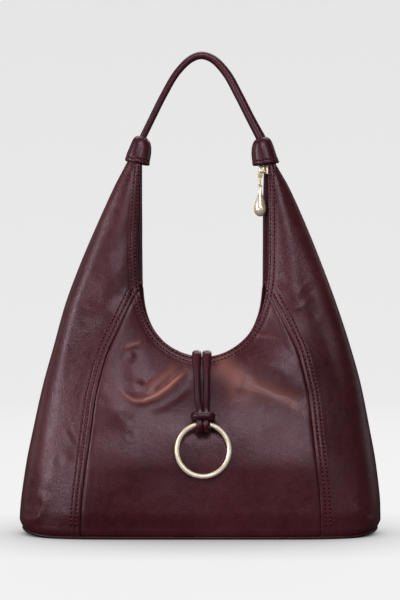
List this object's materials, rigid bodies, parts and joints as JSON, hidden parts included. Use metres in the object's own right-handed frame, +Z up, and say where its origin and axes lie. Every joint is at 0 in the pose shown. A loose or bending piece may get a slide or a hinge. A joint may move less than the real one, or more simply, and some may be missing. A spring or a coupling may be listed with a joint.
{
  "type": "shopper bag",
  "caption": "Slouchy leather shopper with a zipped U-shaped mouth between two arms, a rolled handle in bell keepers, and a ring hitched on a cord in front.",
  "frame": {"origin": "on the floor, under the middle of the base", "axes": "+X to the bag's right as seen from its front, +Y to its back, +Z up"},
  "size_m": [0.3984, 0.1418, 0.5328],
  "materials": {
    "hide": "smooth burgundy hide, satin",
    "trim": "rolled burgundy leather, satin",
    "tape": "woven zip tape",
    "coil": "moulded zip coil",
    "gold": "polished pale gold plate"
  },
  "bodies": {
    "bag": {"front_panel": "hide", "back_panel": "hide", "left_side_panel": "hide", "right_side_panel": "hide", "base_panel": "hide", "zip_tape": "tape", "zip_coil": "coil", "zip_slider": "gold", "left_keeper": "trim", "right_keeper": "trim", "handle": "trim", "pendant_cord": "trim", "cord_tab": "trim"},
    "zip_pull": {"zip_link": "gold", "zip_drop": "gold"},
    "ring": {"pendant_ring": "gold"}
  },
  "joints": [
    {"name": "zip_pull_swing", "type": "hinge", "parent": "bag", "child": "zip_pull", "pos_m": [0.06599, 0.00019, 0.39571], "axis": [0, 1, 0], "range_deg": [0, 90]},
    {"name": "ring_swing", "type": "hinge", "parent": "bag", "child": "ring", "pos_m": [0.0028, -0.064, 0.125], "axis": [-1, 0, 0], "range_deg": [0, 90]}
  ]
}
